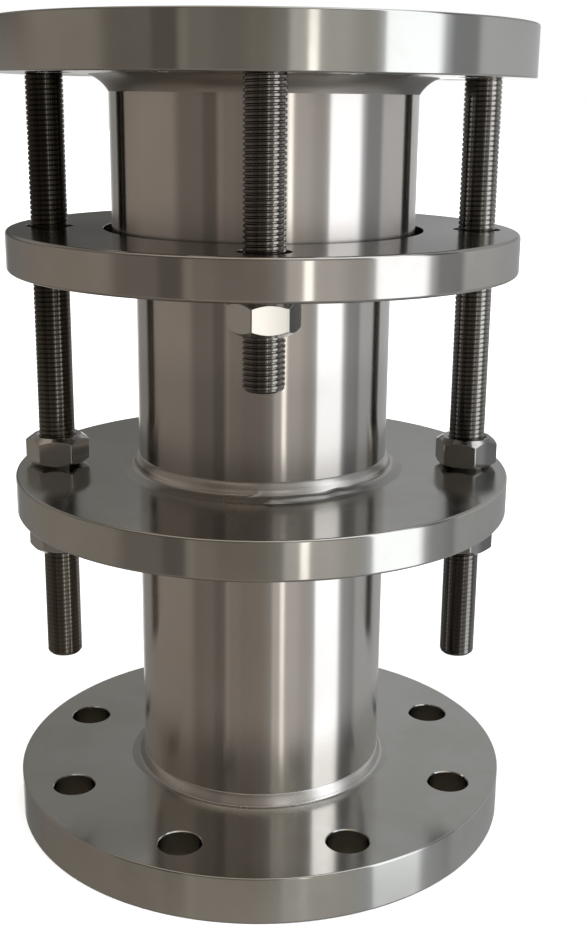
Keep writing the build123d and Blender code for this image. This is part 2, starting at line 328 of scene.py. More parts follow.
def steel(
    name,
    base,
    tint,
    rough,
    spread=0.03,
    turned=0.0,
    streaks=0.0,
    stain=0.25,
    aniso=0.0,
    lump=0.0,
    edge=1.0,
    painted_height_light=(),
    painted_side_shade=None,
    toe=None,
):
    """Stainless steel. turned is the depth of fine lathe lines round the axis, streaks that of fine upright lines from
    polishing, stain how far the colour drifts to tint, lump a soft waviness of the surface, edge how bright it stays at
    a grazing angle, painted_height_light a list of (height, height, gain) over which the colour's level changes, as
    painted light and shade along the height, painted_side_shade the same across the width, as painted shade darkening
    one side toward black, toe a (radius, radius, colour) that it turns to further out."""
    m = bpy.data.materials.new(name)
    m.use_nodes = True
    k = Nodes(m.node_tree)
    p = m.node_tree.nodes["Principled BSDF"]
    p.inputs["Metallic"].default_value = 1.0
    p.inputs["Specular Tint"].default_value = rgb(edge)
    obj = m.node_tree.nodes.new("ShaderNodeTexCoord").outputs["Object"]
    x, y, z = k.xyz(obj)[:3]
    r = k.math("SQRT", k.math("ADD", k.math("MULTIPLY", x, x), k.math("MULTIPLY", y, y)))
    # colour: slow clouds and small specks, drawn out round the axis
    clouds = k.noise(obj, 22.0, 4.0, 0.6)
    specks = k.noise(obj, 260.0, 3.0, 0.6)
    f = k.math("MULTIPLY", k.span(clouds, 0.42, 0.68), stain, clamp=True)
    f = k.math("ADD", f, k.math("MULTIPLY", k.span(specks, 0.62, 0.80), stain * 0.35), clamp=True)
    colour = k.mix(f, rgb(*base), rgb(*tint))
    if toe:
        colour = k.mix(k.span(r, toe[0], toe[1]), colour, rgb(*toe[2]))
    # painted light and shade: the colour's level is scaled up or down along the height
    if painted_height_light:
        painted_level = 1.0
        for a, b, gain in painted_height_light:
            painted_level = k.math("MULTIPLY", k.span(z, a, b, 1.0, gain), painted_level)
        n = m.node_tree.nodes.new("ShaderNodeVectorMath")
        n.operation = "SCALE"
        k.put(n.inputs[0], colour)
        k.put(n.inputs["Scale"], painted_level)
        colour = n.outputs[0]
    # painted shade: the colour is darkened toward black on one side, across the width
    if painted_side_shade:
        colour = k.mix(k.math("MULTIPLY", k.span(x, painted_side_shade[0], painted_side_shade[1]), 1.0 - painted_side_shade[2]), colour, rgb(0.0))
    k.put(p.inputs["Base Color"], colour)
    # roughness: wiped patches and polishing marks
    wipe = k.noise(k.vec(k.math("MULTIPLY", x, 1.0), y, k.math("MULTIPLY", z, 0.35)), 38.0, 5.0, 0.65)
    dull = k.span(wipe, 0.30, 0.72, max(rough - spread, 0.02), rough + spread, False)
    k.put(p.inputs["Roughness"], dull)
    if aniso:
        p.inputs["Anisotropic"].default_value = aniso
        p.inputs["Anisotropic Rotation"].default_value = 0.25
        t = m.node_tree.nodes.new("ShaderNodeTangent")
        t.direction_type, t.axis = "RADIAL", "Z"
        k.put(p.inputs["Tangent"], t.outputs[0])
    normal = None
    if lump:
        normal = k.bump(k.noise(obj, 60.0, 2.0, 0.5), 1.0, lump)
    if turned:
        lines = k.noise(k.vec(k.math("MULTIPLY", r, 1.0), 0.0, z), 1500.0, 3.0, 0.6, "2D")
        normal = k.bump(lines, 1.0, turned, normal)
    if streaks:
        lines = k.noise(k.vec(x, y, k.math("MULTIPLY", z, 0.02)), 900.0, 3.0, 0.6)
        normal = k.bump(lines, 1.0, streaks, normal)
    if normal is not None:
        k.put(p.inputs["Normal"], normal)
    return m


flange_steel = steel(
    "flange_turned_steel", (0.595, 0.595, 0.565), (0.50, 0.485, 0.44), 0.14, 0.03, turned=0.0000006, stain=0.45, aniso=0.92, edge=0.85
)
ring_steel = steel(
    "ring_turned_steel", (0.605, 0.598, 0.568), (0.51, 0.49, 0.445), 0.15, 0.03, turned=0.0000006, stain=0.45, aniso=0.92, edge=0.82
)
gland_steel = steel(
    "gland_turned_steel", (0.62, 0.595, 0.565), (0.52, 0.485, 0.44), 0.135, 0.02, turned=0.0000006, stain=0.4, aniso=0.92, edge=0.72
)
# painted light and shade on the pipe: darker below 200 mm, lighter again below 144 mm and towards its foot
pipe_steel = steel(
    "pipe_polished_steel", (0.70, 0.668, 0.637), (0.62, 0.578, 0.53), 0.185, 0.02, streaks=0.0000004, aniso=1.0,
    painted_height_light=[(0.222, 0.200, 0.85), (0.150, 0.144, 1.19), (0.074, 0.044, 1.12)],
)
# painted shade darkens the right side of these welds
weld_steel = steel(
    "weld_brushed_steel", (0.86, 0.83, 0.79), (0.70, 0.665, 0.61), 0.31, 0.05, stain=0.4, lump=0.00003,
    painted_side_shade=(-0.004, 0.012, 0.76),
    toe=(0.0566, 0.0580, (0.58, 0.57, 0.54)),
)
# painted shade darkens the left side of the foot weld
foot_weld_steel = steel(
    "weld_polished_steel", (0.80, 0.775, 0.745), (0.68, 0.65, 0.61), 0.27, 0.04, stain=0.3,
    toe=(0.0560, 0.0568, (0.55, 0.54, 0.51)), painted_side_shade=(-0.022, -0.044, 0.84),
)
fillet_steel = steel(
    "weld_dressed_steel", (0.60, 0.58, 0.55), (0.52, 0.49, 0.45), 0.38, 0.04, stain=0.35, edge=0.4
)
# right rod: painted shade makes it darker lower down and on its left half
rod_steel = steel(
    "rod_rolled_steel", (0.37, 0.355, 0.33), (0.24, 0.225, 0.205), 0.10, 0.03, stain=0.5, painted_height_light=[(0.24, 0.10, 0.62)],
    painted_side_shade=(0.0925, 0.0900, 0.36),
)
# left rod: a darker copy of the rod steel as painted shade, with more painted shade higher up and on its left half
dark_rod_steel = steel(
    "rod_darker_copy_painted_shade", (0.215, 0.20, 0.172), (0.13, 0.12, 0.10), 0.08, 0.02, stain=0.5, painted_height_light=[(0.15, 0.28, 0.34)],
    painted_side_shade=(-0.0875, -0.0900, 0.74),
)
nut_steel = steel(
    "nut_bright_steel", (0.68, 0.67, 0.65), (0.60, 0.585, 0.56), 0.12, 0.02, stain=0.3
)
# painted shade darkens the left part of each stud
stud_steel = steel(
    "stud_rolled_steel", (0.32, 0.30, 0.275), (0.20, 0.185, 0.165), 0.11, 0.03, stain=0.5, painted_side_shade=(0.0020, -0.0010, 0.62)
)
# painted shade darkens the right side of the right-hand nuts
dull_nut_steel = steel(
    "nut_plain_steel", (0.53, 0.52, 0.505), (0.42, 0.41, 0.39), 0.13, 0.03, stain=0.4, painted_side_shade=(0.0945, 0.0985, 0.6)
)


def rubber():
    m = bpy.data.materials.new("seal_black_rubber")
    m.use_nodes = True
    k = Nodes(m.node_tree)
    p = m.node_tree.nodes["Principled BSDF"]
    obj = m.node_tree.nodes.new("ShaderNodeTexCoord").outputs["Object"]
    k.put(p.inputs["Base Color"], k.mix(k.noise(obj, 300.0, 4.0), rgb(0.016), rgb(0.045, 0.043, 0.04)))
    k.put(p.inputs["Roughness"], k.span(k.noise(obj, 700.0, 3.0), 0.3, 0.7, 0.55, 0.8, False))
    k.put(p.inputs["Normal"], k.bump(k.noise(obj, 1800.0, 3.0), 0.6, 0.00004))
    return m


seal_rubber = rubber()


# ---- flanges -----------------------------------------------------------------------------------------------------------
bolts = [
    (BOLT_PCR * math.cos(math.radians(BOLT_FIRST + 45 * i)), BOLT_PCR * math.sin(math.radians(BOLT_FIRST + 45 * i)))
    for i in range(8)
]
quarter = [RIGHT, BACK, LEFT, FRONT]


def rim(s, z0, z1, r, e):
    """The outside of a plate between two flat faces, with rounded edges."""
    s.lathe([arc((r - e, z0 + e), e, -90, 0), run((r, z0 + e), (r, z1 - e)), arc((r - e, z1 - e), e, 0, 90)])


s = Shape()
rim(s, 0, FLANGE_T, FLANGE_R, FLANGE_EDGE)
s.flat(FLANGE_T, True, FLANGE_R - FLANGE_EDGE, 54.5, [(x, y, BOLT_R + 0.4, 64) for x, y in bolts])
s.flat(0, False, FLANGE_R - FLANGE_EDGE, 54.5, [(x, y, BOLT_R, 64) for x, y in bolts])
s.lathe([run((54.5, FLANGE_T), (54.5, 0))])
for x, y in bolts:
    s.hole(x, y, BOLT_R, 0, FLANGE_T, chamfer1=0.4)
piece("lower_flange_plate", s.mesh("lower_flange_plate"), flange_steel, "spigot", "bottom_flange")

s = Shape()
z0, z1 = TOP_Z, TOP_Z + FLANGE_T
rim(s, z0, z1, FLANGE_R, FLANGE_EDGE)
s.flat(z1, True, FLANGE_R - FLANGE_EDGE, 55.5, [(x, y, BOLT_R + 0.4, 64) for x, y in bolts])
s.flat(
    z0,
    False,
    FLANGE_R - FLANGE_EDGE,
    63.6,
    [(x, y, BOLT_R, 64) for x, y in bolts] + [(x, y, 8.05, 64) for x, y in quarter],
)
s.lathe([run((55.5, z1), (55.5, z0 + 8)), run((55.5, z0 + 8), (63.6, z0 + 8)), run((63.6, z0 + 8), (63.6, z0))])
for x, y in bolts:
    s.hole(x, y, BOLT_R, z0, z1, chamfer1=0.4)
for x, y in quarter:
    s.hole(x, y, 8.05, z0, z0 + 14)
    s.disc(z0 + 14, False, 8.05, x, y)
piece("upper_flange_plate", s.mesh("upper_flange_plate"), flange_steel, "housing", "top_flange")

# ---- limit ring and gland ring -----------------------------------------------------------------------------------------
s = Shape()
z0, z1 = RING_Z, RING_Z + RING_T
rim(s, z0, z1, RING_R, LIMIT_EDGE)
sides = [LEFT, RIGHT]
s.flat(z1, True, RING_R - LIMIT_EDGE, 54.5, [(x, y, ROD_HOLE_R + 0.3, 64) for x, y in sides])
s.flat(z0, False, RING_R - LIMIT_EDGE, 54.5, [(x, y, ROD_HOLE_R + 0.3, 64) for x, y in sides])
s.lathe([run((54.5, z1), (54.5, z0))])
for x, y in sides:
    s.hole(x, y, ROD_HOLE_R, z0, z1, chamfer0=0.3, chamfer1=0.3)
piece("limit_ring_plate", s.mesh("limit_ring_plate"), ring_steel, "spigot", "limit_ring")

s = Shape()
z0, z1 = GLAND_Z, GLAND_Z + RING_T
rim(s, z0, z1, RING_R, GLAND_EDGE)
s.flat(z1, True, RING_R - GLAND_EDGE, GLAND_CB + 0.2, [(x, y, ROD_HOLE_R + 0.15, 64) for x, y in quarter])
s.flat(z0, False, RING_R - GLAND_EDGE, GLAND_BORE, [(x, y, ROD_HOLE_R + 0.15, 64) for x, y in quarter])
s.lathe(
    [
        run((GLAND_CB + 0.2, z1), (GLAND_CB, z1 - 0.2)),
        run((GLAND_CB, z1 - 0.2), (GLAND_CB, GLAND_STEP)),
        run((GLAND_CB, GLAND_STEP), (GLAND_BORE, GLAND_STEP)),
        run((GLAND_BORE, GLAND_STEP), (GLAND_BORE, z0)),
    ]
)
for x, y in quarter:
    s.hole(x, y, ROD_HOLE_R, z0, z1, chamfer0=0.15, chamfer1=0.15)
piece("gland_ring_plate", s.mesh("gland_ring_plate"), gland_steel, "gland", "gland_ring")

# ---- pipe and sleeve ---------------------------------------------------------------------------------------------------
s = Shape()
s.lathe(
    [
        run((PIPE_RI, PIPE_Z0), (PIPE_R, PIPE_Z0)),
        run((PIPE_R, PIPE_Z0), (PIPE_R, PIPE_Z1 - 1.5), 24),
        run((PIPE_R, PIPE_Z1 - 1.5), (PIPE_R - 1.5, PIPE_Z1)),
        run((PIPE_R - 1.5, PIPE_Z1), (PIPE_RI + 0.5, PIPE_Z1)),
        run((PIPE_RI + 0.5, PIPE_Z1), (PIPE_RI, PIPE_Z1 - 0.5)),
        run((PIPE_RI, PIPE_Z1 - 0.5), (PIPE_RI, PIPE_Z0), 24),
    ]
)
piece("inner_pipe_tube", s.mesh("inner_pipe_tube"), pipe_steel, "spigot", "inner_pipe")

s = Shape()
s.lathe(
    [
        run((61.5, SLEEVE_Z0), (SLEEVE_R - 0.4, SLEEVE_Z0)),
        arc((SLEEVE_R - 0.4, SLEEVE_Z0 + 0.4), 0.4, -90, 0, 3),
        run((SLEEVE_R, SLEEVE_Z0 + 0.4), (SLEEVE_R, SLEEVE_Z1), 8),
        run((SLEEVE_R, SLEEVE_Z1), (SLEEVE_RI, SLEEVE_Z1)),
        run((SLEEVE_RI, SLEEVE_Z1), (SLEEVE_RI, SLEEVE_Z0 + 9), 8),
        run((SLEEVE_RI, SLEEVE_Z0 + 9), (61.5, SLEEVE_Z0)),
    ]
)
piece("outer_sleeve_tube", s.mesh("outer_sleeve_tube"), pipe_steel, "housing", "outer_sleeve")

# ---- seal --------------------------------------------------------------------------------------------------------------
s = Shape()
s.lathe(
    [
        run((54.08, 251.5), (65.6, 251.5)),
        arc((65.6, 251.9), 0.4, -90, 0, 3),
        run((66.0, 251.9), (66.0, 253.7)),
        arc((65.6, 253.7), 0.4, 0, 90, 3),
        run((65.6, 254.1), (61.2, 254.1)),
        run((61.2, 254.1), (55.4, 260.6), 2),
        run((55.4, 260.6), (54.08, 260.6)),
        run((54.08, 260.6), (54.08, 251.5), 2),
    ]
)
piece("seal_wedge", s.mesh("seal_wedge"), seal_rubber, "gland", "seal_ring")


# ---- welds -------------------------------------------------------------------------------------------------------------
def wave(t, seed, lo, hi):
    """A smooth closed wobble round the axis, between about -1 and 1, from a few whole-number harmonics."""
    g = np.random.default_rng(seed)
    k = np.arange(lo, hi + 1)
    a, b = g.normal(size=len(k)), g.uniform(0, TAU, len(k))
    w = (a[:, None] / np.sqrt(k)[:, None] * np.cos(k[:, None] * t + b[:, None])).sum(0)
    return w / np.abs(w).max()


def bead(name, r0, z0, up, section, body, node, material, n=720):
    """A weld bead in the corner between a tube of radius r0 and a plate face at z0: a closed ring. section(t) gives, for
    all angles t at once, rows of (out, along) from the toe on the plate to the toe on the tube, in mm."""
    t = np.arange(n) * TAU / n
    out, along = section(t)
    sgn = 1.0 if up else -1.0
    R, Z = r0 + np.maximum(out, 0.0), z0 + sgn * np.maximum(along, 0.0)
    R[-1] = r0 - 0.01
    Z[0] = z0 - sgn * 0.01
    pts = np.stack([R * np.cos(t), R * np.sin(t), Z], -1)
    du = np.gradient(pts, axis=0)
    dt = np.roll(pts, -1, 1) - np.roll(pts, 1, 1)
    nrm = np.cross(dt, du) * sgn
    nrm /= np.linalg.norm(nrm, axis=2)[..., None]
    s = Shape()
    s.grid(pts, nrm)
    # back of the ring: down the tube and out along the plate, hidden in the corner
    c = np.stack([np.cos(t), np.sin(t), 0 * t], -1)
    back = np.stack([(r0 - 0.01) * c + [0, 0, 0] for _ in range(2)])
    back[0, :, 2], back[1, :, 2] = Z[-1], z0 - sgn * 0.01
    s.grid(back, np.broadcast_to(-c, back.shape))
    foot = np.stack([back[1], pts[0]])
    s.grid(foot, np.broadcast_to([0, 0, -sgn], foot.shape))
    return piece(name, s.mesh(name), material, body, node)


def foot_section(t):
    """The foot's weld, dressed smooth: a steep band up the pipe, then a thin hollow running out along the flange,
    shorter at the front."""
    a = np.abs(np.degrees((t + math.pi / 2 + math.pi) % TAU - math.pi))  # 0 at the front
    w = 0.14 * wave(t, 11, 2, 9)
    w2 = 0.35 * wave(t, 13, 2, 9)
    q = np.clip((a - 48) / 34, 0, 1)
    q = 0.40 + 0.60 * q * q * (3 - 2 * q)
    pts = [(6.1, 0.0), (5.3, 0.07), (4.3, 0.18), (3.4, 0.32), (2.75, 0.48), (2.3, 0.70), (1.98, 1.00), (1.75, 1.45)]
    pts += [(1.45, 2.25), (1.10, 3.20), (0.75, 4.10), (0.42, 4.80), (0.18, 5.15), (0.0, 5.28)]
    rows_r = np.stack([
        min(p[0], 1.75) + max(p[0] - 1.75, 0.0) * q + (w2 - 0.35) * (p[0] / 6.1) ** 2
        + w * math.sin(math.pi * min(p[0] / 6.1, 1.0)) for p in pts
    ])
    rows_z = np.stack([p[1] + (w * 0.8) * (p[1] / 5.28) for p in pts])
    return np.minimum(rows_r, 6.15), np.minimum(rows_z, 5.38)


def seam_section(t):
    """The weld on the limit ring: an uneven band up the pipe, and under it a dressed hollow running out over the plate. A
    second, crescent run lies on its front and right, tapering round the pipe, with a small tail at its start."""
    a = np.degrees((t + math.pi / 2 + math.pi) % TAU - math.pi)  # 0 at the front, positive toward +X
    w = 0.22 * wave(t, 21, 2, 12)
    w2 = 0.45 * wave(t, 22, 2, 10)
    rise = 6.70 + 0.25 * wave(t, 23, 2, 14)
    pts = [(7.4, 0.0), (7.2, 0.04), (6.95, 0.09), (6.65, 0.15), (6.3, 0.22), (5.95, 0.30), (5.6, 0.39), (5.2, 0.50)]
    pts += [(4.8, 0.62), (4.4, 0.76), (4.0, 0.92), (3.6, 1.09), (3.2, 1.29), (2.9, 1.48), (2.64, 1.68)]
    pts += [(2.42, 1.90), (2.22, 2.22), (2.08, 2.60), (1.97, 3.05), (1.84, 3.55), (1.66, 4.10), (1.43, 4.65), (1.14, 5.20)]
    pts += [(0.80, 5.75), (0.43, 6.25), (0.15, 6.56), (0.0, 6.70)]
    rows_r, rows_z = [], []
    on = np.clip((a + 2.5) / 5, 0, 1) * np.clip((66 - a) / 46, 0, 1)
    on = on * on * (3 - 2 * on)
    ragged = 0.45 * wave(t, 27, 9, 34)
    crest = 5.5 + ragged - 2.1 * np.clip((a - 4) / 45, 0, 1)  # how far out the second run's crest lies
    for r, z in pts:
        f = r / 7.4
        band = math.sin(math.pi * min(max((z - 1.4) / 5.3, 0.0), 1.0))
        rr = r + w2 * f * f * (1 - 0.8 * on) + 0.3 * on * f * f + (w + 0.05) * band
        zz = z * rise / 6.70
        # two soft strands along the band, the second run, and its tail
        rr = rr + (0.05 + 0.03 * wave(t, 28, 3, 9)) * band * np.cos(TAU * 2.0 * (z - 1.4) / 5.3 + 1.2 * wave(t, 24, 2, 8))
        hump = np.exp(-(np.abs((rr - crest) / np.where(rr > crest, 1.75, 1.45)) ** 3))
        zz = zz + (1.7 + 0.4 * wave(t, 29, 6, 26)) * on * hump
        tail = np.exp(-(((rr - 1.5 + 0.20 * a) / 0.33) ** 2)) * np.exp(-(((a + 5.5) / 3.4) ** 4))
        rr = rr + 0.14 * tail * min(f * 4, 1.0)
        zz = zz + 0.24 * tail * min(f * 4, 1.0)
        swirl = 0.08 * wave(t + 0.05 * r, 25, 4, 18) * math.sin(math.pi * f) ** 2
        rows_r.append(rr)
        rows_z.append(zz + swirl * (1 - on) * (band < 0.5))
    out, along = np.stack(rows_r), np.stack(rows_z)
    along[0] = 0.0
    return np.minimum(out, 7.95), np.clip(along, 0.0, 6.98)


def strands(t, leg, seed):
    """A multi-run weld in a corner: two long rounded strands lie along the seam, with faint ripples."""
    m = 15
    u = np.linspace(0, 1, m)[:, None]  # 0 at the plate's toe, 1 at the tube's
    lr = leg * 0.84 + 0.30 * wave(t, seed, 2, 12)
    lz = leg * 0.88 + 0.28 * wave(t, seed + 2, 2, 12)
    belly = 0.25 + 0.12 * wave(t, seed + 4, 3, 16)
    arch = np.sin(math.pi * u)
    groove = 0.50 + 0.05 * wave(t, seed + 5, 2, 9)  # where the two strands meet
    two = 0.24 * np.abs(np.sin(math.pi * np.where(u < groove, u / groove, (u - groove) / (1 - groove)))) ** 0.8
    swell = (arch * belly + two) * 0.707
    ripple = 0.02 * arch * np.cos(np.round(TAU * (PIPE_R + 3) / 2.4) * t + 2.0 * arch)
    return lr * (1 - u) + swell + ripple, np.minimum(lz * u + swell + ripple, leg)


bead("foot_weld_bead", PIPE_R, FLANGE_T, True, foot_section, "spigot", "bottom_flange_weld", foot_weld_steel)
bead(
    "limit_ring_bead_upper", PIPE_R, RING_Z + RING_T, True, seam_section, "spigot", "limit_ring_weld_upper",
    weld_steel,
)
bead(
    "limit_ring_bead_lower", PIPE_R, RING_Z, False, lambda t: strands(t, 5.0, 41), "spigot",
    "limit_ring_weld_lower", weld_steel,
)

# inner weld at the pipe's foot, inside the lower flange
s = Shape()
t = np.arange(N) * TAU / N
w = 0.25 * wave(t, 5, 2, 12)
rows = []
for f in np.linspace(0, 1, 9):
    rr = 50.4 + (54.5 - 50.4) * f
    zz = 5.0 - 4.0 * f**1.6 + (0.5 + w) * math.sin(math.pi * f) * 0.8
    rows.append(np.stack([rr * np.cos(t), rr * np.sin(t), np.full(N, 1.0) * zz + 0 * t], -1))
pts = np.stack(rows)
nrm = np.cross(np.roll(pts, -1, 1) - np.roll(pts, 1, 1), np.gradient(pts, axis=0))
nrm /= np.linalg.norm(nrm, axis=2)[..., None]
nrm *= -np.sign(nrm[..., 2:3])
s.grid(pts, nrm)
c = np.stack([np.cos(t), np.sin(t), 0 * t], -1)
wall = np.stack([54.5 * c, 54.5 * c])
wall[0, :, 2], wall[1, :, 2] = pts[-1][:, 2], 5.0
s.grid(wall, np.broadcast_to(c, wall.shape))
lid = np.stack([wall[1], pts[0]])
s.grid(lid, np.broadcast_to([0, 0, 1.0], lid.shape))
piece("foot_weld_inner_bead", s.mesh("foot_weld_inner_bead"), weld_steel, "spigot", "bottom_flange_inner_weld")

# dressed fillet under the upper flange: slightly hollow, with a small lip on the sleeve
s = Shape()
c0, c1 = (SLEEVE_R, 316.4), (71.7, TOP_Z)
sag, chord = 0.95, math.dist(c0, c1)
rad = chord**2 / (8 * sag) + sag / 2
away = ((c1[0] - c0[0]) / chord, (c1[1] - c0[1]) / chord)
mid = ((c0[0] + c1[0]) / 2 + away[1] * (rad - sag), (c0[1] + c1[1]) / 2 - away[0] * (rad - sag))
a0 = math.degrees(math.atan2(c0[1] - mid[1], c0[0] - mid[0])) % 360
a1 = math.degrees(math.atan2(c1[1] - mid[1], c1[0] - mid[0])) % 360
s.lathe(
    [
        run((SLEEVE_R - 0.01, TOP_Z), (SLEEVE_R - 0.01, 316.4)),
        run((SLEEVE_R - 0.01, 316.4), (SLEEVE_R, 316.4)),
        arc(mid, rad, a0, a1, 14),
        run((71.7, TOP_Z), (SLEEVE_R - 0.01, TOP_Z)),
    ]
)
piece("sleeve_weld_fillet", s.mesh("sleeve_weld_fillet"), fillet_steel, "housing", "sleeve_weld")


# ---- threaded rods -----------------------------------------------------------------------------------------------------
def threaded(name, centre, z0, z1, body, node, material, top, depth, land, root, seg=40, phase=0.0, worn=None):
    """A rod with a right-hand M16 thread as a true helix: flat worn crests, straight flanks and a narrow root, the ends
    chamfered. worn=(height, depth) gives the depth of thread left below a height."""
    cx, cy = centre
    e = 0.06
    half = PITCH / 2
    # one pitch of the profile: place along the axis, how far down the groove (0 to 1), and which normal it has
    rows = [(-land / 2, 0.0, 0), (land / 2, 0.0, 0), (land / 2 + e, 0.1, 1), (half - root - e, 0.9, 1)]
    rows += [(half - root, 1.0, 0), (half + root, 1.0, 0), (half + root + e, 0.9, -1), (PITCH - land / 2 - e, 0.1, -1)]
    turns = int(math.ceil((z1 - z0) / PITCH)) + 3
    j = np.arange(seg + 1)
    th = phase + j * TAU / seg
    z, down, side = [], [], []
    for turn in range(turns):
        for u, g, q in rows:
            z.append(z0 - 1.5 * PITCH + PITCH * (turn + j / seg) + u)
            down.append(g)
            side.append(q)
    z = np.array(z)
    down, side = np.array(down)[:, None], np.array(side)[:, None]
    deep = np.full_like(z, depth)
    if worn:
        f = np.clip((z - worn[0]) / 12.0, 0, 1)
        deep = worn[1] + (depth - worn[1]) * f * f * (3 - 2 * f)
    r = top - deep * down
    tilt = np.arctan2(0.8 * deep, half - land / 2 - root - 2 * e) * side
    nr, nz = np.cos(tilt), np.sin(tilt)
    # chamfered ends
    r_end, ch = 6.6, 1.4
    for c, sg in ((r_end + (z - z0) * (8.0 - r_end) / ch, -1.0), (r_end + (z1 - z) * (8.0 - r_end) / ch, 1.0)):
        cut = c < r
        r = np.where(cut, np.maximum(c, r_end), r)
        nr, nz = np.where(cut, 0.707, nr), np.where(cut, 0.707 * sg, nz)
    out = (z <= z0) | (z >= z1)
    r[out] = r_end
    z = np.clip(z, z0, z1)
    c, sn = np.cos(th), np.sin(th)
    pts = np.stack([cx + r * c, cy + r * sn, z], -1)
    across = -nz * PITCH / (TAU * r)  # the helix leans the flanks a little
    nrm = np.stack([nr * c - across * sn, nr * sn + across * c, nz], -1)
    s = Shape()
    s.grid(pts, nrm, wrap=False)
    s.disc(z0, False, r_end, cx, cy, seg, phase)
    s.disc(z1, True, r_end, cx, cy, seg, phase)
    return piece(name, s.mesh(name), material, body, node)


long_rod = dict(top=7.70, depth=0.48, land=1.22, root=0.05, worn=(112.0, 0.16))
stud = dict(top=7.86, depth=0.80, land=0.72, root=0.08)
threaded("limit_rod_left_thread", LEFT, 69.5, 337.0, "housing", "limit_rod_left", dark_rod_steel, phase=0.4, **long_rod)
threaded("limit_rod_right_thread", RIGHT, 69.5, 337.0, "housing", "limit_rod_right", rod_steel, phase=2.1, **long_rod)
threaded("gland_stud_front_thread", FRONT, 211.5, 337.0, "housing", "gland_stud_front", stud_steel, phase=1.2, **stud)
threaded("gland_stud_back_thread", BACK, 211.5, 337.0, "housing", "gland_stud_back", stud_steel, phase=3.3, **stud)


# ---- nuts --------------------------------------------------------------------------------------------------------------
def nut(name, centre, z0, turn, body, material):
    """An M16 hexagon nut: rounded corners, a wide chamfer on both ends and a countersunk thread mouth."""
    cx, cy = centre
    h, ap, rc, rb = 13.0, 12.0, 0.9, 10.4
    tan, slope = math.tan(math.radians(30)), math.radians(36)
    loop = []
    for i in range(6):
        mid = math.radians(60 * i - 90 + turn)
        nx, ny = math.cos(mid), math.sin(mid)
        tx, ty = -ny, nx
        half = (ap - rc) * tan
        for w in np.linspace(-half, half, 13):
            loop.append((ap * nx + w * tx, ap * ny + w * ty, nx, ny))
        nxt = math.radians(60 * (i + 1) - 90 + turn)
        corner = (ap - rc) / math.cos(math.radians(30))
        ca = mid + math.radians(30)
        kx, ky = corner * math.cos(ca), corner * math.sin(ca)
        for a in np.linspace(mid, nxt, 6)[1:-1]:
            loop.append((kx + rc * math.cos(a), ky + rc * math.sin(a), math.cos(a), math.sin(a)))
    loop = np.array(loop)
    px, py, nx, ny = loop.T
    R = np.hypot(px, py)
    ca, sa = px / R, py / R
    s = Shape()

    def at(r, z):
        return np.stack([cx + r * ca, cy + r * sa, z0 + z + 0 * ca], -1)

    side = np.stack([nx, ny, 0 * nx], -1)
    e = 0.16
    drop = (R - rb) * math.tan(slope)
    lo_wall = np.stack([cx + px, cy + py, z0 + drop + e], -1)
    hi_wall = np.stack([cx + px, cy + py, z0 + h - drop - e], -1)
    rows = np.stack([lo_wall + (hi_wall - lo_wall) * f for f in np.linspace(0, 1, 5)])
    s.grid(rows, np.broadcast_to(side, rows.shape))
    for top in (True, False):
        sg = 1.0 if top else -1.0
        cone = np.stack([math.sin(slope) * ca, math.sin(slope) * sa, sg * math.cos(slope) + 0 * ca], -1)
        wall = hi_wall if top else lo_wall
        zc = lambda r: (h - (r - rb) * math.tan(slope)) if top else (r - rb) * math.tan(slope)
        edge = at(R - e, zc(R - e))
        mid_n = side + cone
        mid_n /= np.linalg.norm(mid_n, axis=1)[:, None]
        mid_p = (wall + edge) / 2 + mid_n * 0.03
        s.grid(np.stack([wall, mid_p, edge]), np.stack([side, mid_n, cone]))
        inner = at(np.full_like(R, rb), zc(rb))
        s.grid(np.stack([edge, inner]), np.stack([cone, cone]))
        flat = np.stack([inner, at(np.full_like(R, 8.85), zc(rb))])
        s.grid(flat, np.broadcast_to([0, 0, sg], flat.shape))
        mouth = np.stack([flat[1], at(np.full_like(R, 8.05), (h - 0.8) if top else 0.8)])
        mn = np.stack([-0.707 * ca, -0.707 * sa, sg * 0.707 + 0 * ca], -1)
        s.grid(mouth, np.broadcast_to(mn, mouth.shape))
    bore = np.stack([at(np.full_like(R, 8.05), 0.8), at(np.full_like(R, 8.05), h - 0.8)])
    s.grid(bore, np.broadcast_to(np.stack([-ca, -sa, 0 * ca], -1), bore.shape))
    return piece(name + "_hexagon", s.mesh(name), material, body, body)


nut("gland_nut_front", FRONT, 232.5, 9, "gland_nut_front", nut_steel)
nut("gland_nut_back", BACK, 232.5, -17, "gland_nut_back", nut_steel)
nut("limit_nut_upper_left", LEFT, 159.0, 3, "limit_nut_upper_left", dull_nut_steel)
nut("limit_nut_upper_right", RIGHT, 159.0, 37, "limit_nut_upper_right", dull_nut_steel)
nut("limit_nut_lower_left", LEFT, 119.5, 4, "limit_nut_lower_left", dull_nut_steel)
nut("limit_nut_lower_right", RIGHT, 119.5, 37, "limit_nut_lower_right", dull_nut_steel)


# ---- floor -------------------------------------------------------------------------------------------------------------
def floor():
    me = bpy.data.meshes.new("studio_floor")
    h = 12.0
    me.from_pydata([(-h, -h, 0), (h, -h, 0), (h, h, 0), (-h, h, 0)], [], [(0, 1, 2, 3)])
    o = bpy.data.objects.new("studio_floor", me)
    bpy.context.scene.collection.objects.link(o)
    m = bpy.data.materials.new("studio_floor_paint")
    m.use_nodes = True
    k = Nodes(m.node_tree)
    p = m.node_tree.nodes["Principled BSDF"]
    obj = m.node_tree.nodes.new("ShaderNodeTexCoord").outputs["Object"]
    k.put(p.inputs["Base Color"], k.mix(k.noise(obj, 3.0, 3.0), rgb(0.90), rgb(0.91, 0.912, 0.914)))
    p.inputs["Roughness"].default_value = 0.9
    p.inputs["Specular IOR Level"].default_value = 0.0
    me.materials.append(m)
    o.visible_glossy = False
    return o


